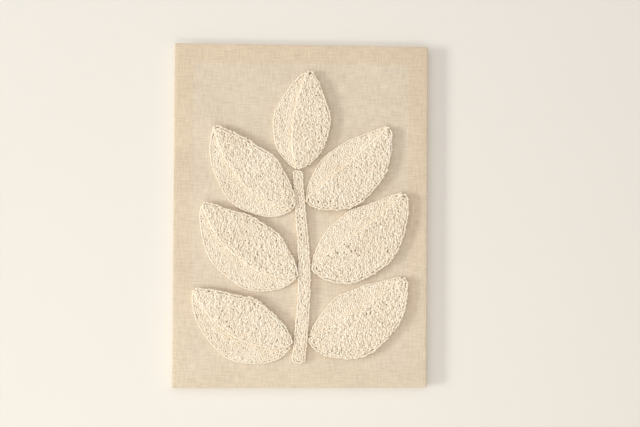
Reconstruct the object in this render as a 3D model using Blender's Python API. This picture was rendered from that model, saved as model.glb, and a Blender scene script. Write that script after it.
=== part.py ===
"""Punch needle wall piece: linen stretched over a mitred wooden frame, with a leafy sprig in
raised loop pile. The front faces -Y, and the back lies on the wall plane, y = 0.

The origin is on the back of the cloth's return, at the middle of the top bar. Metres, +Z up.
"""

import math
from collections import namedtuple

import bmesh
import bpy
from mathutils import Vector
from mathutils.geometry import delaunay_2d_cdt

# Driving sizes of the stretched panel.
PANEL_WIDTH = 0.600
PANEL_HEIGHT = 0.810
PANEL_DEPTH = 0.022
CLOTH_THICKNESS = 0.001
CLOTH_RETURN = 0.030
BAR_WIDTH = 0.045
GAP = 0.0003

# The cloth's folds.
CORNER_RADIUS = 0.003
FRONT_FOLD_RADIUS = 0.002
BACK_FOLD_RADIUS = 0.001
RETURN_CORNER_RADIUS = 0.0005
CORNER_STEPS = 4
MITRE_SLIT_WIDTH = 0.0008
MITRE_SLIT_STOP = 0.005
MITRE_SLIT_OVERRUN = 0.004

# The wooden bars: a flat lip along the outer edge, then a slope away from the cloth.
BAR_LIP = 0.010
BAR_SLOPE_DROP = 0.002
BAR_EASED_CORNER = 0.003

# The pile: loop heights in front of the cloth, and the flat stitches behind it.
LOW_PILE = 0.007
MIDDLE_PILE = 0.010
HIGH_PILE = 0.014
BACK_STITCHES = 0.0012
SHOULDER = 0.005
SHOULDER_RINGS = ((0.35, 0.86), (1.0, 1.0))
WALL_SHARE = 0.58
LUMP_HEIGHT = 0.0007
LUMP_LENGTH_X = 0.043
LUMP_LENGTH_Z = 0.036
LUMP_DRIFT = 2.5
LUMP_DRIFT_LENGTH = 0.21
TOP_GRID = 0.017
TOP_GRID_CLEARANCE = SHOULDER + TOP_GRID / 3
RING_CLEARANCE_SHARE = 0.93
POINT_MERGE_DISTANCE = 1e-7
LEAF_PARTING = 0.0004
BACK_INSET = 0.001

# The sprig's stem, in heights above the panel's centre.
STEM_FOOT = -0.345
STEM_HEAD = 0.106
STEM_FOOT_HALF_WIDTH = 0.015
STEM_HEAD_HALF_WIDTH = 0.010
STEM_SWAY = 0.009
STEM_WAVES = 0.75
STEM_PHASE = -0.47
STEM_STEPS = 26

# The leaves. A leaf leans from upright at its root, positive to the right, and then bends by
# its curl back towards upright. Its margins wave a little, as hand-drawn ones do. One that
# leans less than the limit grows from the stem's head, and the others from its sides.
UPRIGHT_LIMIT_DEG = 20
LEAF_STEPS = 22
LEAF_ROOT_GAP = 0.0055
LEAF_END_HALF_WIDTH = 0.006
LEAF_FULLNESS = 0.84
LEAF_BELLY = 0.84
LEAF_WAVE_SHARE = 0.03
LEAF_WAVES = 2.6
RIB_SHARE = 0.30

Leaf = namedtuple("Leaf", "name root_height lean_deg length width curl_deg wave_phase")
LEAVES = (
    Leaf("leaf_1", -0.301, -85, 0.268, 0.148, 46, 0.3),
    Leaf("leaf_2", -0.290, 82, 0.274, 0.150, 48, 1.9),
    Leaf("leaf_3", -0.142, -75, 0.284, 0.154, 43, 3.2),
    Leaf("leaf_4", -0.121, 74, 0.284, 0.154, 44, 4.6),
    Leaf("leaf_5", 0.020, -66, 0.268, 0.142, 41, 0.9),
    Leaf("leaf_6", 0.038, 67, 0.262, 0.136, 36, 2.5),
    Leaf("leaf_7", 0.112, 2, 0.230, 0.132, -8, 5.3),
)

SHARP_ANGLE = math.radians(40)
FRONT_Y = -PANEL_DEPTH
PANEL_CENTRE_Z = CLOTH_RETURN / 2 - PANEL_HEIGHT / 2


def clear_scene():
    for old in list(bpy.data.objects):
        bpy.data.objects.remove(old)


def make_material(name, colour, roughness):
    made = bpy.data.materials.new(name)
    made.use_nodes = True
    shader = made.node_tree.nodes["Principled BSDF"]
    shader.inputs["Base Color"].default_value = (*colour, 1)
    shader.inputs["Roughness"].default_value = roughness
    shader.inputs["Metallic"].default_value = 0
    return made


def add_object(name, mesh_builder, material, parent):
    """A named object made from a bmesh, with its faces pointing out."""
    bmesh.ops.recalc_face_normals(mesh_builder, faces=mesh_builder.faces)
    mesh = bpy.data.meshes.new(name)
    mesh_builder.to_mesh(mesh)
    mesh_builder.free()
    mesh.shade_smooth()
    mesh.set_sharp_from_angle(angle=SHARP_ANGLE)
    if material:
        mesh.materials.append(material)
    made = bpy.data.objects.new(name, mesh)
    bpy.context.scene.collection.objects.link(made)
    made.parent = parent
    return made


def loft(rings):
    """A closed body through rings of the same number of points, with a cap at each end."""
    body = bmesh.new()
    rows = [[body.verts.new(point) for point in ring] for ring in rings]
    count = len(rows[0])
    for low, high in zip(rows, rows[1:]):
        for i in range(count):
            after = (i + 1) % count
            body.faces.new((low[i], low[after], high[after], high[i]))
    body.faces.new(rows[0])
    body.faces.new(rows[-1])
    return body


def rounded_rectangle(half_width, half_height, radius):
    """Points (x, z) of a rectangle about the panel's centre, with round corners."""
    points = []
    for quarter, (side_x, side_z) in enumerate(((1, 1), (-1, 1), (-1, -1), (1, -1))):
        centre_x = side_x * (half_width - radius)
        centre_z = side_z * (half_height - radius)
        for step in range(CORNER_STEPS + 1):
            angle = math.pi / 2 * (quarter + step / CORNER_STEPS)
            points.append(
                (centre_x + radius * math.cos(angle), centre_z + radius * math.sin(angle))
            )
    return points


def cloth_ring(inset, y, radius):
    half_width = PANEL_WIDTH / 2 - inset
    half_height = PANEL_HEIGHT / 2 - inset
    return [(x, y, z) for x, z in rounded_rectangle(half_width, half_height, radius)]


def ground_cloth(material, parent):
    """One cloth: across the front, round the four sides and back onto the bars."""
    half_round = math.sqrt(0.5)
    inner_radius = CORNER_RADIUS - CLOTH_THICKNESS
    fold = FRONT_FOLD_RADIUS
    eased = fold * (1 - half_round)
    rings = (
        cloth_ring(fold, FRONT_Y, CORNER_RADIUS - fold),
        cloth_ring(eased, FRONT_Y + eased, CORNER_RADIUS - eased),
        cloth_ring(0, FRONT_Y + fold, CORNER_RADIUS),
        cloth_ring(0, -BACK_FOLD_RADIUS, CORNER_RADIUS),
        cloth_ring(BACK_FOLD_RADIUS, 0, CORNER_RADIUS - BACK_FOLD_RADIUS),
        cloth_ring(CLOTH_RETURN, 0, RETURN_CORNER_RADIUS),
        cloth_ring(CLOTH_RETURN, -CLOTH_THICKNESS, RETURN_CORNER_RADIUS),
        cloth_ring(CLOTH_THICKNESS, -CLOTH_THICKNESS, inner_radius),
        cloth_ring(CLOTH_THICKNESS, FRONT_Y + CLOTH_THICKNESS, inner_radius),
    )
    cloth = add_object("ground_cloth", loft(rings), material, parent)
    slits = mitre_slits(parent)
    cut = cloth.modifiers.new("mitred corners of the return", "BOOLEAN")
    cut.operation = "DIFFERENCE"
    cut.object = slits
    return cloth


def mitre_slits(parent):
    """The cutter for the lines along which the folded returns meet at the four corners."""
    start = CLOTH_RETURN + MITRE_SLIT_OVERRUN
    length = (start - MITRE_SLIT_STOP) * math.sqrt(2)
    middle = (start + MITRE_SLIT_STOP) / 2
    cutter = bmesh.new()
    for side_x, side_z in ((1, 1), (-1, 1), (-1, -1), (1, -1)):
        box = bmesh.ops.create_cube(cutter, size=1)["verts"]
        bmesh.ops.scale(cutter, vec=(length, 3 * CLOTH_THICKNESS, MITRE_SLIT_WIDTH), verts=box)
        turn = math.radians(-45 * side_x * side_z)
        for vertex in box:
            x, y, z = vertex.co
            vertex.co = (
                side_x * (PANEL_WIDTH / 2 - middle) + x * math.cos(turn) + z * math.sin(turn),
                y,
                side_z * (PANEL_HEIGHT / 2 - middle) - x * math.sin(turn) + z * math.cos(turn),
            )
    made = add_object("mitre_slit_cutter", cutter, None, parent)
    made.hide_render = True
    made.display_type = "WIRE"
    return made


def stretcher_bar(name, panel_length, panel_across, turn, material, parent):
    """A mitred bar. It is drawn as the top bar, along X, and turned about Y into its place."""
    half_length = panel_length / 2 - CLOTH_THICKNESS - 2 * GAP
    front = FRONT_Y + CLOTH_THICKNESS + GAP
    back = -CLOTH_THICKNESS - GAP
    outer_z = panel_across / 2 - CLOTH_THICKNESS - GAP
    inward = (0, BAR_EASED_CORNER / 2, BAR_LIP, BAR_WIDTH)
    ends = (half_length - BAR_EASED_CORNER, *(half_length - u for u in inward[1:]))
    fronts = (front, front, front, front + BAR_SLOPE_DROP)
    rings = [
        [
            (-end, face, outer_z - u),
            (end, face, outer_z - u),
            (end, back, outer_z - u),
            (-end, back, outer_z - u),
        ]
        for u, end, face in zip(inward, ends, fronts)
    ]
    bar = add_object(name, loft(rings), material, parent)
    bar.rotation_euler.y = turn
    return bar


def stretcher_frame(material, parent):
    quarter = math.pi / 2
    for name, turns, length, across in (
        ("bar_top", 0, PANEL_WIDTH, PANEL_HEIGHT),
        ("bar_right", 1, PANEL_HEIGHT, PANEL_WIDTH),
        ("bar_bottom", 2, PANEL_WIDTH, PANEL_HEIGHT),
        ("bar_left", 3, PANEL_HEIGHT, PANEL_WIDTH),
    ):
        stretcher_bar(name, length, across, turns * quarter, material, parent)


def stem_x(height):
    """The stem's sideways place at a height on the panel."""
    share = (height - STEM_FOOT) / (STEM_HEAD - STEM_FOOT)
    return STEM_SWAY * math.sin(2 * math.pi * STEM_WAVES * share + STEM_PHASE)


def stem_half_width(height):
    share = (height - STEM_FOOT) / (STEM_HEAD - STEM_FOOT)
    return STEM_FOOT_HALF_WIDTH + (STEM_HEAD_HALF_WIDTH - STEM_FOOT_HALF_WIDTH) * share


def stem_outline(inset=0.0):
    heights = [
        STEM_FOOT + inset + (STEM_HEAD - STEM_FOOT - 2 * inset) * i / STEM_STEPS
        for i in range(STEM_STEPS + 1)
    ]
    left = [(stem_x(h) - stem_half_width(h) + inset, h) for h in heights]
    right = [(stem_x(h) + stem_half_width(h) - inset, h) for h in heights]
    return left + right[::-1]


def leaf_midrib(leaf):
    """Points (x, z, direction) along the leaf's bent midline, from its root to its tip."""
    leans = abs(leaf.lean_deg) > UPRIGHT_LIMIT_DEG
    side = math.copysign(1, leaf.lean_deg) if leans else 0
    x = stem_x(leaf.root_height)
    x += side * (stem_half_width(leaf.root_height) + LEAF_ROOT_GAP)
    z = leaf.root_height
    direction = math.radians(90 - leaf.lean_deg)
    turn = math.radians(leaf.curl_deg) * (side or 1) / LEAF_STEPS
    step = leaf.length / LEAF_STEPS
    points = []
    for _ in range(LEAF_STEPS + 1):
        points.append((x, z, direction))
        direction += turn
        x += step * math.cos(direction)
        z += step * math.sin(direction)
    return points


def leaf_half_width(leaf, share):
    """Half the leaf's width at a share of its length."""
    swell = math.sin(math.pi * share**LEAF_BELLY) ** LEAF_FULLNESS if 0 < share < 1 else 0
    wave = math.sin(2 * math.pi * LEAF_WAVES * share + leaf.wave_phase)
    body = (leaf.width / 2 - LEAF_END_HALF_WIDTH) * swell
    return LEAF_END_HALF_WIDTH + body * (1 + LEAF_WAVE_SHARE * wave)


def leaf_line(leaf, width_share, shift=0.0):
    """A line along the leaf, at a share of its half width left of the midline, and a shift."""
    line = []
    for i, (x, z, direction) in enumerate(leaf_midrib(leaf)):
        across = width_share * leaf_half_width(leaf, i / LEAF_STEPS) + shift
        line.append((x - across * math.sin(direction), z + across * math.cos(direction)))
    return line


def leaf_outline(leaf, left_share, right_share, left_shift=0.0, right_shift=0.0):
    left = leaf_line(leaf, left_share, left_shift)
    right = leaf_line(leaf, right_share, right_shift)
    return left + right[::-1]


def edge_pairs(outline):
    return list(zip(outline, outline[1:] + outline[:1]))


def is_inside(point, outline):
    x, z = point
    crossings = 0
    for (x0, z0), (x1, z1) in edge_pairs(outline):
        if (z0 > z) != (z1 > z) and x < x0 + (z - z0) * (x1 - x0) / (z1 - z0):
            crossings += 1
    return crossings % 2 == 1


def distance_to(point, outline):
    nearest = math.inf
    for start, end in edge_pairs(outline):
        start, along = Vector(start), Vector(end) - Vector(start)
        away = Vector(point) - start
        share = min(1, max(0, away.dot(along) / along.length_squared))
        nearest = min(nearest, (away - along * share).length)
    return nearest


def inset_ring(outline, distance):
    """The outline's points moved in by a distance, without those that then lie too near it."""
    ring = []
    area = sum(x0 * z1 - x1 * z0 for (x0, z0), (x1, z1) in edge_pairs(outline))
    inward = math.copysign(1, area)
    least = RING_CLEARANCE_SHARE * distance
    for i, point in enumerate(outline):
        along = Vector(outline[(i + 1) % len(outline)]) - Vector(outline[i - 1])
        normal = Vector((-along.y, along.x)).normalized() * inward
        moved = Vector(point) + normal * distance
        if is_inside(moved, outline) and distance_to(moved, outline) > least:
            ring.append(tuple(moved))
    return ring


def grid_points(outline, clearance):
    """Points of a staggered grid that lie inside the outline, clear of its edge."""
    xs, zs = zip(*outline)
    found = []
    row_height = TOP_GRID * math.sqrt(0.75)
    for row in range(math.ceil((max(zs) - min(zs)) / row_height)):
        z = min(zs) + (row + 0.5) * row_height
        stagger = TOP_GRID / 2 * (row % 2)
        for column in range(math.ceil((max(xs) - min(xs)) / TOP_GRID)):
            point = (min(xs) + stagger + column * TOP_GRID, z)
            if is_inside(point, outline) and distance_to(point, outline) > clearance:
                found.append(point)
    return found


def lump(x, z):
    """The pile's uneven top, as a shift in height."""
    drift_x = LUMP_DRIFT * math.sin(2 * math.pi * z / LUMP_DRIFT_LENGTH)
    drift_z = LUMP_DRIFT * math.sin(2 * math.pi * x / LUMP_DRIFT_LENGTH)
    wave_x = math.sin(2 * math.pi * x / LUMP_LENGTH_X + drift_x)
    wave_z = math.cos(2 * math.pi * z / LUMP_LENGTH_Z + drift_z)
    return LUMP_HEIGHT * wave_x * wave_z


def pile_slab(name, outline, height, material, parent):
    """A body of loop pile: upright at its edge, rounded at the shoulder and lumpy on top."""
    points = [(point, WALL_SHARE * height) for point in outline]
    for distance_share, height_share in SHOULDER_RINGS:
        ring = inset_ring(outline, distance_share * SHOULDER)
        points += [(point, height_share * height) for point in ring]
    points += [(point, height) for point in grid_points(outline, TOP_GRID_CLEARANCE)]
    count = len(outline)
    edges = [(i, (i + 1) % count) for i in range(count)]
    flat = [Vector(point) for point, _ in points]
    inside_only = 1
    corners, _, triangles, sources, _, _ = delaunay_2d_cdt(
        flat, edges, [], inside_only, POINT_MERGE_DISTANCE
    )
    base_y = FRONT_Y - GAP
    body = bmesh.new()
    top = {}
    for i, (corner, source) in enumerate(zip(corners, sources)):
        raised = points[source[0]][1]
        if source[0] >= count:
            raised += lump(corner.x, corner.y)
        top[i] = body.verts.new((corner.x, base_y - raised, corner.y))
    for triangle in triangles:
        body.faces.new([top[i] for i in triangle])
    rim = {source[0]: top[i] for i, source in enumerate(sources) if source[0] < count}
    foot = [body.verts.new((x, base_y, z)) for x, z in outline]
    for i, after in edges:
        body.faces.new((rim[i], rim[after], foot[after], foot[i]))
    body.faces.new(foot)
    return add_object(name, body, material, parent)


def back_slab(name, outline, material, parent):
    """The thin layer of flat stitches behind the cloth."""
    near = FRONT_Y + CLOTH_THICKNESS + GAP
    rings = [[(x, y, z) for x, z in outline] for y in (near, near + BACK_STITCHES)]
    return add_object(name, loft(rings), material, parent)


def sprig(material, parent):
    """The stem and the leaves. Each leaf has a low half and a high half, side by side."""
    pile_slab("stem_pile", stem_outline(), MIDDLE_PILE, material, parent)
    back_slab("stem_back", stem_outline(BACK_INSET), material, parent)
    for leaf in LEAVES:
        low = leaf_outline(leaf, 1, RIB_SHARE, 0, LEAF_PARTING / 2)
        high = leaf_outline(leaf, RIB_SHARE, -1, -LEAF_PARTING / 2, 0)
        whole = leaf_outline(leaf, 1, -1, -BACK_INSET, BACK_INSET)
        pile_slab(f"{leaf.name}_low", low, LOW_PILE, material, parent)
        pile_slab(f"{leaf.name}_high", high, HIGH_PILE, material, parent)
        back_slab(f"{leaf.name}_back", whole, material, parent)


def main():
    clear_scene()
    linen = make_material("linen", (0.77, 0.65, 0.47), 0.9)
    pine = make_material("pine", (0.70, 0.50, 0.29), 0.6)
    wool = make_material("wool", (0.86, 0.74, 0.56), 0.95)
    centre = bpy.data.objects.new("panel_centre", None)
    bpy.context.scene.collection.objects.link(centre)
    centre.location.z = PANEL_CENTRE_Z
    ground_cloth(linen, centre)
    stretcher_frame(pine, centre)
    sprig(wool, centre)


main()
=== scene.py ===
"""Looks of the punch needle wall piece: separate wool loops punched through stretched linen.

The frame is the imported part: metres, +Z up, the pile faces -Y and the wall is at y = 0.
"""

import math
from collections import namedtuple

import bmesh
import bpy
import numpy as np
from mathutils import Matrix, Vector


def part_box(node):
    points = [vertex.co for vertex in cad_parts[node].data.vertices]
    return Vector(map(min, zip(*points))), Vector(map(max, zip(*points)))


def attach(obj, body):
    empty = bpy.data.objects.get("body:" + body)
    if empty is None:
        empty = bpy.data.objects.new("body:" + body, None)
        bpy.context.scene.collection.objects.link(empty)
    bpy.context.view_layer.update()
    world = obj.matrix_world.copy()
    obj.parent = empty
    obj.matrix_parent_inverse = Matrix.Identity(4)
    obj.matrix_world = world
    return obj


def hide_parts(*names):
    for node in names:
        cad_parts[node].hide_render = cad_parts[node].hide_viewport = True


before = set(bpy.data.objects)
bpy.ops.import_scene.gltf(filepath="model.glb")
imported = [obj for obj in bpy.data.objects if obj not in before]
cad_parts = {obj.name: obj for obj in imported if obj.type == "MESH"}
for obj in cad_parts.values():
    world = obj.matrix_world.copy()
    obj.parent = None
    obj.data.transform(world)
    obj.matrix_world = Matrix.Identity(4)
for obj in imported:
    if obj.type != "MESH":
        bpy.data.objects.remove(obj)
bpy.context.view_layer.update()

BODY = "root"
RANDOM = np.random.default_rng(20)

# The panel, from the frame.
CLOTH_LOW, CLOTH_HIGH = (Vector(corner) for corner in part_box("ground_cloth"))
PANEL_CENTRE = (CLOTH_LOW + CLOTH_HIGH) / 2
HALF_WIDTH = (CLOTH_HIGH.x - CLOTH_LOW.x) / 2
HALF_HEIGHT = (CLOTH_HIGH.z - CLOTH_LOW.z) / 2
FRONT_Y = CLOTH_LOW.y
BACK_Y = CLOTH_HIGH.y
BAR_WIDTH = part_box("bar_top")[1][2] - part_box("bar_top")[0][2]

# The camera, fitted to the panel's four corners in the photograph.
CAMERA_PLACE = (-0.016, -1.702, -0.406)
CAMERA_YAW_DEG = 2.07
CAMERA_PITCH_DEG = 0.75
CAMERA_ROLL_DEG = 0.35
CAMERA_LENS_MM = 40

# The stage and the lights. The floor is short, so that it doesn't shade the low key light.
WALL_HALF_WIDTH = 7.0
WALL_TOP = 2.4
FLOOR_Z = -1.75
FLOOR_HALF_WIDTH = 2.2
WALL_GAP = 0.0006
WALL_OPENING_INSET = 0.004
SKY_COLOUR = (1.0, 0.97, 0.95)
SKY_STRENGTH = 0.41

# Each light: the way it travels, its distance from the panel, its width and height, its
# irradiance at the panel face on to it, and its colour.
Light = namedtuple("Light", "name travels distance width height irradiance colour")
LIGHTS = (
    Light("key", (3.0, 1.2, 0.25), 12.0, 2.0, 4.8, 1.95, (0.96, 1.0, 0.99)),
    Light("table_glow", (0.12, 1.0, 0.65), 2.0, 3.2, 0.35, 0.60, (1.0, 0.97, 0.95)),
    Light("front_fill", (0.10, 1.0, -0.50), 4.0, 6.0, 4.0, 1.30, (1.0, 0.97, 0.96)),
    Light("behind_wall", (0.35, -1.0, -0.30), 5.0, 6.0, 6.0, 2.60, (1.0, 0.98, 0.95)),
)

# The cloth, cut flat and folded round the bars. The hem's ripples are in radians to the point.
HEM_RIPPLES = (0.7, 0.23)
CLOTH_THICKNESS = 0.001
CLOTH_RETURN = 0.030
CLOTH_GRID = 0.008
FRONT_FOLD = 0.002
BACK_FOLD = 0.001
FOLD_STEPS = 3
RETURN_STEPS = 4
HEM_UNEVENNESS = 0.0007
CORNER_RADIUS = 0.003
CORNER_STEPS = 4
MITRE_START = 0.005
MITRE_HALF_GAP = 0.0004

# The wool loops. A loop's path from root to root: how far along its row as a share of the half
# spread, how high as a share of the loop's height less a drop in metres, and how thick as a
# share of the yarn's radius. Inside, the legs are swollen where they crowd each other.
YARN_RADIUS = 0.0023
YARN_SIDES = 6
ROW_PITCH = 0.0044
STITCH_PITCH = 0.0060
LOOP_HALF_SPREAD = 0.0025
LoopRing = namedtuple("LoopRing", "along rise drop inner_radius edge_radius")
LOOP_PATH = (
    LoopRing(-0.35, 0, 0, 0.90, 0.90),
    LoopRing(-0.88, 1, 0.0029, 1.42, 1.15),
    LoopRing(-0.70, 1, 0.0009, 1.14, 1.05),
    LoopRing(0.00, 1, 0, 1.00, 1.00),
    LoopRing(0.70, 1, 0.0009, 1.14, 1.05),
    LoopRing(0.88, 1, 0.0029, 1.42, 1.15),
    LoopRing(0.35, 0, 0, 0.90, 0.90),
)
ROOT_DEPTH = 0.0005

# The rows of stitches: the first two follow the outline, and wavy ones fill what is left.
EDGE_PITCHES = (0.0050, 0.0062)
EDGE_JITTER = 0.16
LEAST_RING_SHARE = 0.96
LEAST_ROW_POINTS = 8
FILL_START_ROWS = 0.25
MOST_TILT = 0.25
ROW_JITTER = 0.2
ROW_SCATTER = 0.0003
Wave = namedtuple("Wave", "size length shift phases")
ROW_WAVES = (Wave(0.0030, 0.083, 0.30, 1), Wave(0.0012, 0.031, 0.75, 2))

# How far loops lean out over an open edge, and over a step down to a leaf's low half. The lean
# fades over some rows inward, and it turns over a short distance at a tip.
EDGE_LEAN = 0.34
STEP_LEAN_SHARE = 0.3
STEP_MARGIN = 0.25 * ROW_PITCH
LEAN_REACH = 4 * ROW_PITCH
LEAN_SOFTNESS = 0.003
LEAN_CURVE = 1.5

# How unevenly a hand sets the loops, on the edge and inside: a twist in radians, and shares of
# the loop's height, lean, spread and thickness.
EDGE_TWIST, INNER_TWIST = 0.12, 0.36
MEAN_HEIGHT = 0.98
EDGE_HEIGHT_VARIES, INNER_HEIGHT_VARIES = 0.02, 0.05
LEAN_VARIES = 0.08
SPREAD_VARIES = 0.10
RADIUS_VARIES = 0.05

# The yarn: how many plies, the length in which they wind once round, and their fibres.
YARN_PLIES = 4
PLY_TURN = 0.025
FIBRE_WIDTH = 0.00035
FIBRE_LENGTH = 0.004

# Single stitches go wherever the rows leave a spot farther than this from any stitch. Spots are
# tried on a grid, and only so deep inside the outline.
WIDEST_GAP = 0.0033
SPOT_GRID = 0.0015
SPOT_DEPTH = 0.0013

# The flat stitches behind the cloth: shares of a stitch's length and of its full section.
STITCH_RINGS = ((-0.54, 0.45), (0.0, 1.0), (0.54, 0.45))
STITCH_SIDES = 4
STITCH_HALF_WIDTH = 0.0018
STITCH_WIDTH_VARIES = 0.08
STITCH_HALF_THICKNESS = 0.0007
STITCH_DIP = 0.0005
STITCH_SCATTER = 0.0001
LONGEST_STITCH = 2.5 * STITCH_PITCH

# Directions (x, z) of the panel's sides, outward and along, counter-clockwise from the right.
SIDES = (((1, 0), (0, 1)), ((0, 1), (-1, 0)), ((-1, 0), (0, -1)), ((0, -1), (1, 0)))

# The staples that hold the return to the bars. A staple's path is in half crowns along it and in
# wire diameters behind the cloth, and its section is in wire radii.
STAPLE_PITCH = 0.055
STAPLE_INSET = 0.017
STAPLE_CROWN = 0.010
STAPLE_WIRE = 0.0005
STAPLE_PATH = ((-1, -1), (-1, -0.1), (-0.9, 0.35), (0.9, 0.35), (1, -0.1), (1, -1))
STAPLE_SECTION = (1.2, 0.7)
STAPLE_SIDES = 4
STAPLE_SCATTER_ALONG = 0.002
STAPLE_SCATTER_ACROSS = 0.001
STAPLE_SKEW_DEG = 7
SHARP_ANGLE_DEG = 40

# Colours, as linear red, green, blue and alpha.
LINEN_DARK = (0.61, 0.51, 0.38, 1)
LINEN_PALE = (0.86, 0.745, 0.585, 1)
BAR_TINT = (0.995, 0.955, 0.90, 1)
WOOL_DARK = (0.88, 0.755, 0.58, 1)
WOOL_PALE = (0.975, 0.89, 0.75, 1)
PINE_PALE = (0.75, 0.55, 0.33, 1)
PINE_DARK = (0.56, 0.35, 0.17, 1)
STEEL_DULL = (0.24, 0.24, 0.25, 1)
STEEL_BRIGHT = (0.46, 0.46, 0.48, 1)
WALL_COLOUR = (0.86, 0.825, 0.76, 1)
FLOOR_COLOUR = (0.80, 0.78, 0.74, 1)

# The linen's thread. Noises are in features to the metre: the slubs, the tones along a thread,
# and the clouds or wear of each material.
LINEN_THREAD = 0.0009
SLUB_SCALE = (38, 300, 0)
THREAD_TONES = 25
LINEN_CLOUDS = (9, 9, 0)
WOOL_CLOUDS = (14, 14, 14)
STEEL_WEAR = (400, 400, 400)
STAGE_CLOUDS = (1.5, 1.5, 1.5)
STAGE_DIMMING = 0.985

# The pine's growth bands and its fibres, across and along the bar, and how often a band turns.
PINE_GRAIN = (70, 2.2)
PINE_GRAIN_ROUGHNESS = 0.55
PINE_FIBRES = (630, 360)
PINE_BAND_RATE = 26.0

# The cloth is warmer over the bars: how soft the band's edge is, between which shares of the half
# height it grows upward, and how strong it is at the foot and by how much more at the top.
BAR_EDGE = 0.003
BAR_FADE = (-0.9, 0.8)
BAR_STRENGTH = (0.35, 0.65)

# How strongly each cause shifts a shade between its two colours, and round which middle value.
Shift = namedtuple("Shift", "share middle")
MIDDLE_SHADE = 0.5
SLUB_SHIFT = Shift(0.76, 1.0)
THREAD_SHIFT = Shift(0.44, 1.0)
LINEN_CLOUD_SHIFT = Shift(0.5, 0.5)
TONE_SHIFT = Shift(0.16, 0.0)
# The plies' shift is painted shade: darker in the grooves between the plies, lighter on their crowns.
PLY_GROOVE_PAINTED_SHADE = Shift(0.70, 0.643)
WOOL_FIBRE_SHIFT = Shift(0.9, 0.5)
PINE_BAND_SHIFT = Shift(0.22, 0.0)
PINE_FIBRE_SHIFT = Shift(0.3, 0.5)

# Each finish: its roughness, its sheen as weight and roughness, and its bump as distance and
# strength. In the bumps the weave is a share of the slubs, and the fibres are one of the plies.
Finish = namedtuple("Finish", "roughness sheen bump")
LINEN_FINISH = Finish(0.92, (0.12, 0.5), (0.0004, 0.4))
WOOL_FINISH = Finish(0.95, (0.15, 0.6), (0.0006, 0.6))
PINE_FINISH = Finish(0.62, None, (0.0002, 0.4))
STEEL_ROUGHNESS = 0.35
WALL_ROUGHNESS = 0.95
FLOOR_ROUGHNESS = 0.8
WEAVE_SHARE = 0.35
FIBRE_SHARE = 0.5

# Points nearer than this are one, in a solid's foot and in the cloth.
FOOT_WELD = 1e-5
CLOTH_WELD = 1e-6


def smooth_ring(points, rounds=2):
    """Rounds a closed ring of points by cutting its corners."""
    for _ in range(rounds):
        after = np.roll(points, -1, axis=0)
        pairs = np.stack([0.75 * points + 0.25 * after, 0.25 * points + 0.75 * after], axis=1)
        points = pairs.reshape(-1, 2)
    return points


def signed_area(ring):
    after = np.roll(ring, -1, axis=0)
    return 0.5 * np.sum(ring[:, 0] * after[:, 1] - ring[:, 1] * after[:, 0])


def foot_outline(node):
    """The outline of a pile node on the cloth: a ring of points (x, z), counter-clockwise."""
    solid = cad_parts[node]
    body = bmesh.new()
    body.from_mesh(solid.data)
    body.transform(solid.matrix_world)
    bmesh.ops.remove_doubles(body, verts=body.verts, dist=FOOT_WELD)
    foot_y = max(v.co.y for v in body.verts)
    foot = {f for f in body.faces if all(v.co.y > foot_y - FOOT_WELD for v in f.verts)}
    beside = {}
    for edge in body.edges:
        if sum(f in foot for f in edge.link_faces) == 1:
            a, b = edge.verts
            beside.setdefault(a, []).append(b)
            beside.setdefault(b, []).append(a)
    start = min(beside, key=lambda v: (v.co.x, v.co.z))
    ring = [start]
    before, here = start, beside[start][0]
    while here is not start:
        ring.append(here)
        before, here = here, next(v for v in beside[here] if v is not before)
    points = np.array([(v.co.x, v.co.z) for v in ring])
    body.free()
    return points if signed_area(points) > 0 else points[::-1]


def distance_to(points, ring):
    """How far each point lies from the ring's nearest edge, negative outside the ring."""
    start = ring[None]
    along = (np.roll(ring, -1, axis=0) - ring)[None]
    away = points[:, None] - start
    share = np.clip((away * along).sum(2) / np.maximum((along**2).sum(2), 1e-12), 0, 1)
    near = np.linalg.norm(away - share[..., None] * along, axis=2).min(1)
    z, z0, z1 = points[:, None, 1], start[..., 1], start[..., 1] + along[..., 1]
    crosses = (z0 > z) != (z1 > z)
    rise = np.where(np.abs(along[..., 1]) > 1e-12, along[..., 1], 1)
    x_at = start[..., 0] + (z - z0) * along[..., 0] / rise
    inside = (crosses & (points[:, None, 0] < x_at)).sum(1) % 2 == 1
    return np.where(inside, near, -near)


def evenly(ring, pitch):
    """Points about one pitch apart along a closed ring, a little unevenly."""
    path = np.vstack([ring, ring[:1]])
    steps = np.linalg.norm(np.diff(path, axis=0), axis=1)
    lengths = np.concatenate([[0], np.cumsum(steps)])
    count = max(3, round(lengths[-1] / pitch))
    jitter = RANDOM.uniform(-EDGE_JITTER, EDGE_JITTER, count)
    places = (np.arange(count) + 0.5 + jitter) * lengths[-1] / count
    return np.column_stack([np.interp(places, lengths, path[:, i]) for i in (0, 1)])


def edge_row(ring, depth, pitch):
    """A row of stitches that follows the outline at a depth inside it, or None."""
    along = np.roll(ring, -1, axis=0) - np.roll(ring, 1, axis=0)
    along /= np.linalg.norm(along, axis=1)[:, None]
    moved = ring + depth * np.column_stack([-along[:, 1], along[:, 0]])
    kept = moved[distance_to(moved, ring) > LEAST_RING_SHARE * depth]
    return evenly(kept, pitch) if len(kept) > LEAST_ROW_POINTS else None


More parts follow.
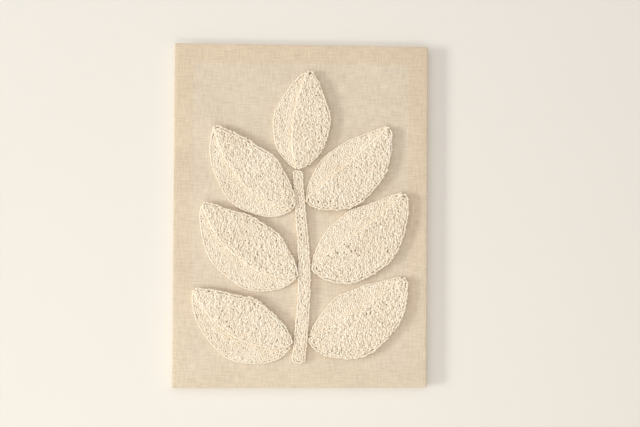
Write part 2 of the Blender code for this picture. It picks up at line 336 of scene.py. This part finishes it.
def fill_rows(ring, depth, tilt):
    """Wavy rows, near upright, over what lies deeper inside the outline than the edge rows."""
    turn = np.array([[math.cos(tilt), -math.sin(tilt)], [math.sin(tilt), math.cos(tilt)]])
    turned = ring @ turn.T
    low, high = turned.min(0), turned.max(0)
    phase = RANDOM.uniform(0, 2 * math.pi)
    rows = []
    for k in range(math.ceil((high[0] - low[0]) / ROW_PITCH)):
        count = math.ceil((high[1] - low[1]) / STITCH_PITCH)
        steps = np.arange(count) + RANDOM.uniform(-ROW_JITTER, ROW_JITTER, count) + 0.5 * (k % 2)
        z = low[1] + steps * STITCH_PITCH
        wave = 0
        for size, length, shift, phases in ROW_WAVES:
            wave = wave + size * np.sin(2 * math.pi * z / length + shift * k + phases * phase)
        x = low[0] + (k + 0.5) * ROW_PITCH + wave + RANDOM.normal(0, ROW_SCATTER, count)
        points = np.column_stack([x, z]) @ turn
        kept = distance_to(points, ring) > depth
        breaks = np.flatnonzero(np.diff(kept.astype(int))) + 1
        for run in np.split(np.arange(count), breaks):
            if kept[run[0]] and len(run) > 1:
                rows.append(points[run])
    return rows


def unit(vectors):
    return vectors / np.maximum(np.linalg.norm(vectors, axis=-1, keepdims=True), 1e-9)


def bare_spots(ring, placed):
    """Places for single stitches where the rows leave the cloth bare, the widest gap first."""
    low, high = ring.min(0), ring.max(0)
    lines = [np.arange(low[i], high[i], SPOT_GRID) for i in (0, 1)]
    grid = np.stack(np.meshgrid(*lines), axis=-1).reshape(-1, 2)
    grid = grid[distance_to(grid, ring) > SPOT_DEPTH]
    gap = np.linalg.norm(grid[:, None] - placed, axis=2).min(1)
    spots = []
    while gap.max() > WIDEST_GAP:
        spots.append(grid[gap.argmax()])
        gap = np.minimum(gap, np.linalg.norm(grid - spots[-1], axis=1))
    return np.array(spots)


def stitch_plan(ring):
    """Rows of stitches inside an outline, as (points, directions, closed)."""
    plan = []
    for k, pitch in enumerate(EDGE_PITCHES):
        row = edge_row(ring, (k + 0.5) * ROW_PITCH, pitch)
        if row is None:
            break
        plan.append((row, unit(np.roll(row, -1, axis=0) - np.roll(row, 1, axis=0)), True))
    depth = (len(EDGE_PITCHES) + FILL_START_ROWS) * ROW_PITCH
    for row in fill_rows(ring, depth, RANDOM.uniform(-MOST_TILT, MOST_TILT)):
        plan.append((row, unit(np.gradient(row, axis=0)), False))
    spots = bare_spots(ring, np.vstack([row for row, _, _ in plan]))
    if len(spots):
        plan.append((spots, np.tile((0.0, 1.0), (len(spots), 1)), False))
    return plan


def at_step(node, place, depth):
    """Which loops of a leaf's half stand nearer to its other half than to the open edge."""
    for half, other in (("_low", "_high"), ("_high", "_low")):
        if node.endswith(half):
            beside = foot_outline(node.replace(half, other))
            return distance_to(place, beside) > -depth - STEP_MARGIN
    return np.zeros(len(place), bool)


def outward_lean(node, ring, place, depth, by_step):
    """How far each loop leans out over the edge, by (x, z): less the deeper it stands.

    Where a leaf's halves meet, the low loops stand upright and the high ones lean a little.
    At a tip the way out turns smoothly from one side to the other.
    """
    nudges = LEAN_SOFTNESS * np.eye(2)
    rises = [distance_to(place + n, ring) - distance_to(place - n, ring) for n in nudges]
    share = np.clip(1 - depth / LEAN_REACH, 0, 1)
    share[by_step] *= 0 if node.endswith("_low") else STEP_LEAN_SHARE
    return -EDGE_LEAN * share[:, None] * np.column_stack(rises) / (2 * LEAN_SOFTNESS)


def add_piece(name, points, faces, material, uvs=None, tones=None):
    """A smooth mesh object that rides with the panel."""
    mesh = bpy.data.meshes.new(name)
    mesh.from_pydata(points, [], faces)
    mesh.shade_smooth()
    if uvs is not None:
        mesh.uv_layers.new(name="thread").data.foreach_set("uv", np.ravel(uvs))
    if tones is not None:
        mesh.attributes.new("tone", "FLOAT", "POINT").data.foreach_set("value", tones)
    mesh.materials.append(material)
    piece = bpy.data.objects.new(name, mesh)
    bpy.context.scene.collection.objects.link(piece)
    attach(piece, BODY)
    return piece


def tubes(centres, across, radii, sides, turn):
    """Points of many tubes: centres (tubes, rings, 3), across (tubes, 3), radii (tubes, rings, 2)."""
    along = unit(np.gradient(centres, axis=1))
    across = np.broadcast_to(across[:, None], centres.shape)
    up = np.cross(across, along)
    angles = 2 * math.pi * np.arange(sides) / sides + turn
    ring = np.cos(angles)[:, None] * (across * radii[..., :1])[:, :, None]
    ring = ring + np.sin(angles)[:, None] * (up * radii[..., 1:])[:, :, None]
    return (centres[:, :, None] + ring).reshape(-1, 3)


def tube_faces(count, rings, sides):
    """The side quads and the two end caps of many tubes, and the sides' (round, along) shares."""
    ring, side = np.meshgrid(np.arange(rings - 1), np.arange(sides), indexing="ij")
    ring, side = ring.ravel(), side.ravel()
    corners = ((0, 0), (0, 1), (1, 1), (1, 0))
    quads = np.stack([(ring + r) * sides + (side + s) % sides for r, s in corners], axis=-1)
    shares = np.stack([np.stack([(side + s) / sides, ring + r], -1) for r, s in corners], axis=1)
    caps = np.array([np.arange(sides)[::-1], (rings - 1) * sides + np.arange(sides)])
    starts = (np.arange(count) * rings * sides)[:, None, None]
    faces = (starts + quads).reshape(-1, 4).tolist() + (starts + caps).reshape(-1, sides).tolist()
    return faces, shares.reshape(-1, 2)


def thread_uvs(centres, shares, sides):
    """Shares round the yarn, and metres along it, for each corner of the tubes' faces.

    Each tube is taken from its own place along a metre of yarn.
    """
    count, rings = centres.shape[:2]
    steps = np.linalg.norm(np.diff(centres, axis=1), axis=2)
    lengths = np.concatenate([np.zeros((count, 1)), np.cumsum(steps, axis=1)], axis=1)
    lengths = lengths + RANDOM.uniform(0, 1, count)[:, None]
    uvs = np.empty((count, len(shares), 2))
    uvs[..., 0] = shares[:, 0]
    uvs[..., 1] = lengths[:, shares[:, 1].astype(int)]
    caps = np.zeros((count * 2 * sides, 2))
    return np.vstack([uvs.reshape(-1, 2), caps])


def wool_loops(node, material):
    """The separate loops of one pile node, joined, in place of its solid. Returns their plan."""
    low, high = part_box(node)
    height = high[1] - low[1]
    ring = smooth_ring(foot_outline(node))
    plan = stitch_plan(ring)
    place = np.vstack([row for row, _, _ in plan])
    along = np.vstack([way for _, way, _ in plan])
    count = len(place)
    depth = distance_to(place, ring)
    by_step = at_step(node, place, depth)
    on_edge = depth < ROW_PITCH
    twist = RANDOM.normal(0, 1, count) * np.where(on_edge, EDGE_TWIST, INNER_TWIST)
    way_x = along[:, 0] * np.cos(twist) - along[:, 1] * np.sin(twist)
    way_z = along[:, 0] * np.sin(twist) + along[:, 1] * np.cos(twist)
    lean = outward_lean(node, ring, place, depth, by_step)
    lean = lean + RANDOM.normal(0, LEAN_VARIES, (count, 2))
    height_varies = np.where(on_edge, EDGE_HEIGHT_VARIES, INNER_HEIGHT_VARIES)
    tall = height * (MEAN_HEIGHT + RANDOM.normal(0, 1, count) * height_varies) - YARN_RADIUS
    spread = LOOP_HALF_SPREAD * (1 + RANDOM.normal(0, SPREAD_VARIES, count))
    share_along, share_up, drop, inner_radius, edge_radius = np.array(LOOP_PATH).T
    offset = spread[:, None] * share_along
    rise = np.maximum(tall[:, None] * share_up - drop, 0)
    sway = rise**LEAN_CURVE / height ** (LEAN_CURVE - 1)
    x = place[:, :1] + way_x[:, None] * offset + lean[:, :1] * sway
    z = place[:, 1:] + way_z[:, None] * offset + lean[:, 1:] * sway
    centres = np.stack([x, FRONT_Y + ROOT_DEPTH - rise, z], axis=-1)
    across = np.column_stack([-way_z, np.zeros(count), way_x])
    radius = YARN_RADIUS * (1 + RANDOM.normal(0, RADIUS_VARIES, count))
    open_edge = on_edge & ~by_step
    swelling = np.where(open_edge[:, None], edge_radius, inner_radius)
    radii = np.repeat((radius[:, None] * swelling)[..., None], 2, axis=2)
    points = tubes(centres, across, radii, YARN_SIDES, 0)
    faces, shares = tube_faces(count, len(LOOP_PATH), YARN_SIDES)
    tones = np.repeat(RANDOM.normal(0, 1, count), len(LOOP_PATH) * YARN_SIDES)
    uvs = thread_uvs(centres, shares, YARN_SIDES)
    piece = add_piece(f"{node}_loops", points, faces, material, uvs, tones)
    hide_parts(node)
    return plan


def back_stitches(node, plans, material):
    """The flat stitches behind the cloth, from each loop's hole to the next one's."""
    starts, ends = [], []
    for row, _, closed in plans:
        starts.append(row if closed else row[:-1])
        ends.append(np.roll(row, -1, axis=0) if closed else row[1:])
    starts, ends = np.vstack(starts), np.vstack(ends)
    step = ends - starts
    usual = np.linalg.norm(step, axis=1) < LONGEST_STITCH
    starts, step = starts[usual], step[usual]
    count = len(starts)
    share = np.array([s for s, _ in STITCH_RINGS])
    full = np.array([f for _, f in STITCH_RINGS])
    middle = (starts + step / 2)[:, None] + step[:, None] * share[:, None]
    near = FRONT_Y + CLOTH_THICKNESS + STITCH_HALF_THICKNESS
    depth = near - STITCH_DIP * (1 - full) + RANDOM.normal(0, STITCH_SCATTER, (count, 1))
    centres = np.stack([middle[..., 0], depth, middle[..., 1]], axis=-1)
    way = unit(step)
    across = np.column_stack([-way[:, 1], np.zeros(count), way[:, 0]])
    width = STITCH_HALF_WIDTH * (1 + RANDOM.normal(0, STITCH_WIDTH_VARIES, (count, 1)))
    radii = np.stack([width * full, np.full((count, 1), STITCH_HALF_THICKNESS) * full], axis=-1)
    radii = radii * math.sqrt(2)
    points = tubes(centres, across, radii, STITCH_SIDES, math.pi / STITCH_SIDES)
    faces, shares = tube_faces(count, len(share), STITCH_SIDES)
    tones = np.repeat(RANDOM.normal(0, 1, count), len(share) * STITCH_SIDES)
    uvs = thread_uvs(centres, shares, STITCH_SIDES)
    piece = add_piece(f"{node}_stitches", points, faces, material, uvs, tones)
    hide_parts(node)


def cloth_profile():
    """From the front's edge round to the hem: (offset from the outline, y, flat distance)."""
    profile = []
    for step in range(FOLD_STEPS + 1):
        angle = math.pi / 2 * step / FOLD_STEPS
        offset = FRONT_FOLD * (math.sin(angle) - 1)
        profile.append((offset, FRONT_Y + FRONT_FOLD * (1 - math.cos(angle))))
    for step in range(FOLD_STEPS + 1):
        angle = math.pi / 2 * step / FOLD_STEPS
        offset = -BACK_FOLD * (1 - math.cos(angle))
        profile.append((offset, BACK_Y - BACK_FOLD + BACK_FOLD * math.sin(angle)))
    profile.append((-MITRE_START, BACK_Y))
    for step in range(1, RETURN_STEPS + 1):
        share = step / RETURN_STEPS
        profile.append((-MITRE_START - (CLOTH_RETURN - MITRE_START) * share, BACK_Y))
    flat = -FRONT_FOLD
    rings = []
    for k, (offset, y) in enumerate(profile):
        if k:
            flat += math.dist(profile[k - 1], (offset, y))
        rings.append((offset, y, flat))
    return rings


def cloth_ring(offset, counts, mitred):
    """Points (x, z) round the panel, counter-clockwise, and the side that each belongs to."""
    half = np.array([HALF_WIDTH + offset, HALF_HEIGHT + offset])
    radius = max(0, CORNER_RADIUS * (1 + min(0, offset) / FRONT_FOLD))
    apart = MITRE_HALF_GAP * math.sqrt(2) if mitred else 0
    middle = CORNER_STEPS // 2
    points, owners = [], []
    for side, (out, way) in enumerate(SIDES):
        out, way = np.array(out), np.array(way)
        edge = out * (half @ np.abs(out))
        reach = way * (half @ np.abs(way) - radius)
        count = counts[side % 2]
        for i in range(1, count):
            points.append(edge + reach * (2 * i / count - 1))
            owners.append(side)
        centre = edge - out * radius + reach
        for owner, steps, shift in (
            (side, range(middle + 1), -apart * way),
            ((side + 1) % 4, range(middle, CORNER_STEPS + 1), -apart * out),
        ):
            for step in steps:
                angle = math.pi / 2 * (side + step / CORNER_STEPS)
                arc = radius * np.array((math.cos(angle), math.sin(angle)))
                points.append(centre + arc + shift)
                owners.append(owner)
    return points, owners


def flat_place(side, x, z, flat):
    """Where a point of one side lies on the cloth before it was folded, from its centre."""
    out_x, out_z = SIDES[side][0]
    return (
        out_x * (HALF_WIDTH + flat) if out_x else x,
        out_z * (HALF_HEIGHT + flat) if out_z else z,
    )


def linen_cloth(material):
    """The stretched cloth: its front, its sides, and its return with mitred corners."""
    counts = (round(2 * HALF_HEIGHT / CLOTH_GRID), round(2 * HALF_WIDTH / CLOTH_GRID))
    body = bmesh.new()
    thread = body.loops.layers.uv.new("thread")

    def add_quad(corners, places):
        for loop, place in zip(body.faces.new(corners).loops, places):
            loop[thread].uv = place

    xs = np.linspace(-1, 1, counts[1] + 1) * (HALF_WIDTH - FRONT_FOLD)
    zs = np.linspace(-1, 1, counts[0] + 1) * (HALF_HEIGHT - FRONT_FOLD)
    grid = [[body.verts.new((x, FRONT_Y, PANEL_CENTRE.z + z)) for x in xs] for z in zs]
    for i in range(counts[0]):
        for j in range(counts[1]):
            turns = ((i, j), (i, j + 1), (i + 1, j + 1), (i + 1, j))
            add_quad([grid[a][b] for a, b in turns], [(xs[b], zs[a]) for a, b in turns])
    profile = cloth_profile()
    before = None
    for offset, y, flat in profile:
        points, owners = cloth_ring(offset, counts, offset < -MITRE_START)
        if offset == profile[-1][0]:
            for i, owner in enumerate(owners):
                uneven = math.sin(HEM_RIPPLES[0] * i) + math.sin(HEM_RIPPLES[1] * i + owner)
                points[i] = points[i] + HEM_UNEVENNESS / 2 * uneven * np.array(SIDES[owner][0])
        ring = [body.verts.new((x, y, PANEL_CENTRE.z + z)) for x, z in points]
        if before:
            old_ring, old_points, old_flat = before
            for i, owner in enumerate(owners):
                j = (i + 1) % len(ring)
                if owners[j] == owner:
                    corners = (old_ring[i], ring[i], ring[j], old_ring[j])
                    places = [
                        flat_place(owner, *old_points[i], old_flat),
                        flat_place(owner, *points[i], flat),
                        flat_place(owner, *points[j], flat),
                        flat_place(owner, *old_points[j], old_flat),
                    ]
                    add_quad(corners, places)
        before = ring, points, flat
    bmesh.ops.remove_doubles(body, verts=body.verts, dist=CLOTH_WELD)
    mesh = bpy.data.meshes.new("linen_cloth")
    body.to_mesh(mesh)
    body.free()
    mesh.shade_smooth()
    mesh.materials.append(material)
    cloth = bpy.data.objects.new("linen_cloth", mesh)
    bpy.context.scene.collection.objects.link(cloth)
    solid = cloth.modifiers.new("cloth thickness", "SOLIDIFY")
    solid.thickness = CLOTH_THICKNESS
    solid.offset = -1
    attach(cloth, BODY)
    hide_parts("ground_cloth")


def staples(material):
    """Wire staples along the middle of the return, a little askew as a hand gun leaves them."""
    path = np.array(STAPLE_PATH) * (STAPLE_CROWN / 2, 2 * STAPLE_WIRE)
    centres, across = [], []
    for out, way in SIDES:
        out, way = np.array(out), np.array(way)
        edge = np.array([HALF_WIDTH, HALF_HEIGHT]) @ np.abs(out) - STAPLE_INSET
        reach = np.array([HALF_WIDTH, HALF_HEIGHT]) @ np.abs(way) - 2 * STAPLE_INSET
        count = round(2 * reach / STAPLE_PITCH)
        for i in range(count + 1):
            run = reach * (2 * i / count - 1) + RANDOM.normal(0, STAPLE_SCATTER_ALONG)
            middle = out * (edge + RANDOM.normal(0, STAPLE_SCATTER_ACROSS)) + way * run
            skew = math.radians(RANDOM.normal(0, STAPLE_SKEW_DEG))
            line = way * math.cos(skew) + out * math.sin(skew)
            flat = middle + path[:, :1] * line
            centres.append(np.column_stack([flat[:, 0], BACK_Y + path[:, 1], flat[:, 1]]))
            across.append((-line[1], 0, line[0]))
    centres = np.array(centres)
    centres[..., 2] += PANEL_CENTRE.z
    section = STAPLE_WIRE * np.array(STAPLE_SECTION)
    radii = np.broadcast_to(section, (*centres.shape[:2], 2))
    points = tubes(centres, np.array(across), radii, STAPLE_SIDES, math.pi / STAPLE_SIDES)
    faces, _ = tube_faces(len(centres), len(path), STAPLE_SIDES)
    piece = add_piece("staples", points, faces, material)
    piece.data.set_sharp_from_angle(angle=math.radians(SHARP_ANGLE_DEG))


def new_material(name, roughness):
    made = bpy.data.materials.new(name)
    made.use_nodes = True
    shader = made.node_tree.nodes["Principled BSDF"]
    shader.inputs["Roughness"].default_value = roughness
    return made, made.node_tree, shader


def add_node(tree, kind, inputs, output=0, **settings):
    """Adds a shader node, sets or links its inputs, and returns one of its outputs."""
    made = tree.nodes.new(kind)
    for key, value in settings.items():
        setattr(made, key, value)
    for key, value in inputs.items():
        if isinstance(value, bpy.types.NodeSocket):
            tree.links.new(value, made.inputs[key])
        else:
            made.inputs[key].default_value = value
    return made.outputs[output]


def maths(tree, operation, *values):
    return add_node(tree, "ShaderNodeMath", dict(enumerate(values)), operation=operation)


def scaled(tree, vector, scale):
    return add_node(tree, "ShaderNodeVectorMath", {0: vector, 1: scale}, operation="MULTIPLY")


def noise(tree, vector, detail=2.0, rough=0.5):
    inputs = {"Vector": vector, "Scale": 1.0, "Detail": detail, "Roughness": rough}
    return add_node(tree, "ShaderNodeTexNoise", inputs)


def mix(tree, factor, first, second, blend="MIX"):
    made = tree.nodes.new("ShaderNodeMix")
    made.data_type = "RGBA"
    made.blend_type = blend
    for key, value in (("Factor_Float", factor), ("A_Color", first), ("B_Color", second)):
        socket = next(i for i in made.inputs if i.identifier == key)
        if isinstance(value, bpy.types.NodeSocket):
            tree.links.new(value, socket)
        else:
            socket.default_value = value
    return next(o for o in made.outputs if o.identifier == "Result_Color")


def bump(tree, height, distance, strength):
    inputs = {"Height": height, "Distance": distance, "Strength": strength}
    return add_node(tree, "ShaderNodeBump", inputs)


def shifted(tree, shade, value, shift):
    """Moves a shade by a share of how far a value is from its middle."""
    base = maths(tree, "SUBTRACT", shade, shift.share * shift.middle)
    return maths(tree, "MULTIPLY_ADD", value, shift.share, base)


def thread_place(tree):
    """The place on the flat cloth or along the yarn: whole, and as its two parts."""
    place = add_node(tree, "ShaderNodeUVMap", {}, uv_map="thread")
    split = tree.nodes.new("ShaderNodeSeparateXYZ")
    tree.links.new(place, split.inputs[0])
    return place, split.outputs[0], split.outputs[1]


def object_place(tree):
    return add_node(tree, "ShaderNodeTexCoord", {}, output=3)


def set_sheen(shader, weight, roughness):
    shader.inputs["Sheen Weight"].default_value = weight
    shader.inputs["Sheen Roughness"].default_value = roughness


def smooth_step(tree, value, low, high):
    inputs = {"Value": value, "From Min": low, "From Max": high}
    return add_node(tree, "ShaderNodeMapRange", inputs, interpolation_type="SMOOTHSTEP")


def linen_material():
    """Plain weave with slubs both ways, in the cloth's own flat metres. It is warmer on the bars."""
    made, tree, shader = new_material("linen", LINEN_FINISH.roughness)
    place, u, v = thread_place(tree)
    weft_slubs = noise(tree, scaled(tree, place, SLUB_SCALE), detail=1.0)
    warp_slubs = noise(tree, scaled(tree, place, SLUB_SCALE[1::-1] + (0,)), detail=1.0)
    across_thread = 1 / LINEN_THREAD
    weft = noise(tree, scaled(tree, place, (THREAD_TONES, across_thread, 0)), detail=0.0)
    warp = noise(tree, scaled(tree, place, (across_thread, THREAD_TONES, 0)), detail=0.0)
    clouds = noise(tree, scaled(tree, place, LINEN_CLOUDS))
    slubs = maths(tree, "ADD", weft_slubs, warp_slubs)
    threads = maths(tree, "ADD", weft, warp)
    shade = shifted(tree, MIDDLE_SHADE, slubs, SLUB_SHIFT)
    shade = shifted(tree, shade, threads, THREAD_SHIFT)
    shade = shifted(tree, shade, clouds, LINEN_CLOUD_SHIFT)
    cloth = mix(tree, shade, LINEN_DARK, LINEN_PALE)
    beyond_u = maths(tree, "SUBTRACT", maths(tree, "ABSOLUTE", u), HALF_WIDTH - BAR_WIDTH)
    beyond_v = maths(tree, "SUBTRACT", maths(tree, "ABSOLUTE", v), HALF_HEIGHT - BAR_WIDTH)
    beyond = maths(tree, "MAXIMUM", beyond_u, beyond_v)
    over_bar = smooth_step(tree, beyond, -BAR_EDGE, BAR_EDGE)
    upper = smooth_step(tree, v, *(share * HALF_HEIGHT for share in BAR_FADE))
    least, more = BAR_STRENGTH
    strength = maths(tree, "MULTIPLY_ADD", upper, more, least)
    strength = maths(tree, "MULTIPLY", over_bar, strength)
    tinted = mix(tree, strength, cloth, BAR_TINT, blend="MULTIPLY")
    tree.links.new(tinted, shader.inputs["Base Color"])
    rate = math.pi / LINEN_THREAD
    weave = maths(
        tree, "MULTIPLY",
        maths(tree, "SINE", maths(tree, "MULTIPLY", u, rate)),
        maths(tree, "SINE", maths(tree, "MULTIPLY", v, rate)),
    )
    height = maths(tree, "MULTIPLY_ADD", weave, WEAVE_SHARE, slubs)
    tree.links.new(bump(tree, height, *LINEN_FINISH.bump), shader.inputs["Normal"])
    set_sheen(shader, *LINEN_FINISH.sheen)
    return made


def wool_material():
    """Undyed wool: each loop has its own tone, and plies and fibres wind along the yarn. The grooves
    between the plies are painted darker and their crowns lighter, as painted shade.
    """
    made, tree, shader = new_material("wool", WOOL_FINISH.roughness)
    _, share, metres = thread_place(tree)
    turn = maths(tree, "MULTIPLY", metres, 2 * math.pi / PLY_TURN)
    turn = maths(tree, "MULTIPLY_ADD", share, 2 * math.pi, turn)
    plies = maths(tree, "SINE", maths(tree, "MULTIPLY", turn, YARN_PLIES / 2))
    plies = maths(tree, "ABSOLUTE", plies)
    twisted = {0: maths(tree, "COSINE", turn), 1: maths(tree, "SINE", turn), 2: metres}
    twisted = add_node(tree, "ShaderNodeCombineXYZ", twisted)
    fineness = YARN_RADIUS / FIBRE_WIDTH
    fibres = noise(tree, scaled(tree, twisted, (fineness, fineness, 1 / FIBRE_LENGTH)))
    tone = add_node(tree, "ShaderNodeAttribute", {}, output=2, attribute_name="tone")
    clouds = noise(tree, scaled(tree, object_place(tree), WOOL_CLOUDS))
    shade = shifted(tree, clouds, tone, TONE_SHIFT)
    # Painted shade: the yarn's colour is darkened in the grooves between the plies and lightened on
    # their crowns.
    shade = shifted(tree, shade, plies, PLY_GROOVE_PAINTED_SHADE)
    shade = shifted(tree, shade, fibres, WOOL_FIBRE_SHIFT)
    yarn = mix(tree, shade, WOOL_DARK, WOOL_PALE)
    tree.links.new(yarn, shader.inputs["Base Color"])
    height = maths(tree, "MULTIPLY_ADD", fibres, FIBRE_SHARE, plies)
    tree.links.new(bump(tree, height, *WOOL_FINISH.bump), shader.inputs["Normal"])
    set_sheen(shader, *WOOL_FINISH.sheen)
    return made


def pine_material(name, long_axis):
    """Bare planed pine, its grain along the bar."""
    made, tree, shader = new_material(name, PINE_FINISH.roughness)
    where = object_place(tree)

    def grained(across, along):
        return scaled(tree, where, [along if axis == long_axis else across for axis in range(3)])

    grain = noise(tree, grained(*PINE_GRAIN), detail=3.0, rough=PINE_GRAIN_ROUGHNESS)
    bands = maths(tree, "SINE", maths(tree, "MULTIPLY", grain, PINE_BAND_RATE))
    fibres = noise(tree, grained(*PINE_FIBRES))
    shade = shifted(tree, MIDDLE_SHADE, bands, PINE_BAND_SHIFT)
    shade = shifted(tree, shade, fibres, PINE_FIBRE_SHIFT)
    wood = mix(tree, shade, PINE_PALE, PINE_DARK)
    tree.links.new(wood, shader.inputs["Base Color"])
    tree.links.new(bump(tree, fibres, *PINE_FINISH.bump), shader.inputs["Normal"])
    return made


def steel_material():
    made, tree, shader = new_material("staple_wire", STEEL_ROUGHNESS)
    wear = noise(tree, scaled(tree, object_place(tree), STEEL_WEAR))
    tree.links.new(mix(tree, wear, STEEL_DULL, STEEL_BRIGHT), shader.inputs["Base Color"])
    shader.inputs["Metallic"].default_value = 1.0
    return made


def plain_material(name, colour, roughness):
    """A pale stage surface with a barely uneven tone."""
    made, tree, shader = new_material(name, roughness)
    clouds = noise(tree, scaled(tree, object_place(tree), STAGE_CLOUDS))
    dimmer = tuple(STAGE_DIMMING * part for part in colour[:3]) + (1,)
    tree.links.new(mix(tree, clouds, dimmer, colour), shader.inputs["Base Color"])
    return made


def stage_sheet(name, points, faces, material):
    mesh = bpy.data.meshes.new(name)
    mesh.from_pydata(points, [], faces)
    mesh.materials.append(material)
    sheet = bpy.data.objects.new(name, mesh)
    bpy.context.scene.collection.objects.link(sheet)


def stage():
    """A pale wall that the panel hangs on, open behind the panel, and a pale floor."""
    y = BACK_Y + WALL_GAP

    def upright(half_x, low, high):
        return [(-half_x, y, low), (half_x, y, low), (half_x, y, high), (-half_x, y, high)]

    reach = HALF_HEIGHT - WALL_OPENING_INSET
    outer = upright(WALL_HALF_WIDTH, FLOOR_Z, WALL_TOP)
    inner = upright(HALF_WIDTH - WALL_OPENING_INSET, PANEL_CENTRE.z - reach, PANEL_CENTRE.z + reach)
    faces = [(i, (i + 1) % 4, 4 + (i + 1) % 4, 4 + i) for i in range(4)]
    plaster = plain_material("plaster", WALL_COLOUR, WALL_ROUGHNESS)
    stage_sheet("wall", outer + inner, faces, plaster)
    wide = FLOOR_HALF_WIDTH
    corners = [(s * wide, t * wide, FLOOR_Z) for s, t in ((-1, -1), (1, -1), (1, 1), (-1, 1))]
    pale_floor = plain_material("pale_floor", FLOOR_COLOUR, FLOOR_ROUGHNESS)
    stage_sheet("floor", corners, [(0, 1, 2, 3)], pale_floor)


def soft_light(row):
    """A rectangular lamp aimed at the panel's centre and not seen itself."""
    lamp = bpy.data.lights.new(row.name, "AREA")
    lamp.shape = "RECTANGLE"
    lamp.size = row.width
    lamp.size_y = row.height
    lamp.energy = row.irradiance * math.pi * row.distance**2
    lamp.color = row.colour
    way = Vector(row.travels).normalized()
    placed = bpy.data.objects.new(row.name, lamp)
    placed.location = PANEL_CENTRE - row.distance * way
    placed.rotation_mode = "QUATERNION"
    placed.rotation_quaternion = way.to_track_quat("-Z", "Y")
    placed.visible_camera = False
    bpy.context.scene.collection.objects.link(placed)


def lights():
    """The soft lamps and a pale sky."""
    for row in LIGHTS:
        soft_light(row)
    world = bpy.data.worlds.new("sky")
    bpy.context.scene.world = world
    world.use_nodes = True
    sky = world.node_tree.nodes["Background"]
    sky.inputs["Color"].default_value = (*SKY_COLOUR, 1)
    sky.inputs["Strength"].default_value = SKY_STRENGTH
    bpy.context.scene.view_settings.view_transform = "Standard"


def camera():
    lens = bpy.data.cameras.new("camera")
    lens.lens = CAMERA_LENS_MM
    made = bpy.data.objects.new("camera", lens)
    yaw = Matrix.Rotation(math.radians(-CAMERA_YAW_DEG), 4, "Z")
    pitch = Matrix.Rotation(math.radians(90 + CAMERA_PITCH_DEG), 4, "X")
    roll = Matrix.Rotation(math.radians(CAMERA_ROLL_DEG), 4, "Z")
    made.matrix_world = Matrix.Translation(CAMERA_PLACE) @ yaw @ pitch @ roll
    bpy.context.scene.collection.objects.link(made)
    bpy.context.scene.camera = made


camera()
lights()
stage()
linen_cloth(linen_material())
wool = wool_material()
plans = {}
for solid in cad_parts:
    if solid.endswith(("_low", "_high", "_pile")):
        plans[solid] = wool_loops(solid, wool)
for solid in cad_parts:
    if solid.endswith("_back"):
        motif = solid.removesuffix("_back")
        rows = [row for name, plan in plans.items() if name.startswith(motif + "_") for row in plan]
        back_stitches(solid, rows, wool)
for solid, long_axis in (("bar_top", 0), ("bar_bottom", 0), ("bar_left", 2), ("bar_right", 2)):
    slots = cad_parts[solid].material_slots
    slots[0].material = pine_material(f"pine_{solid}", long_axis)
staples(steel_material())
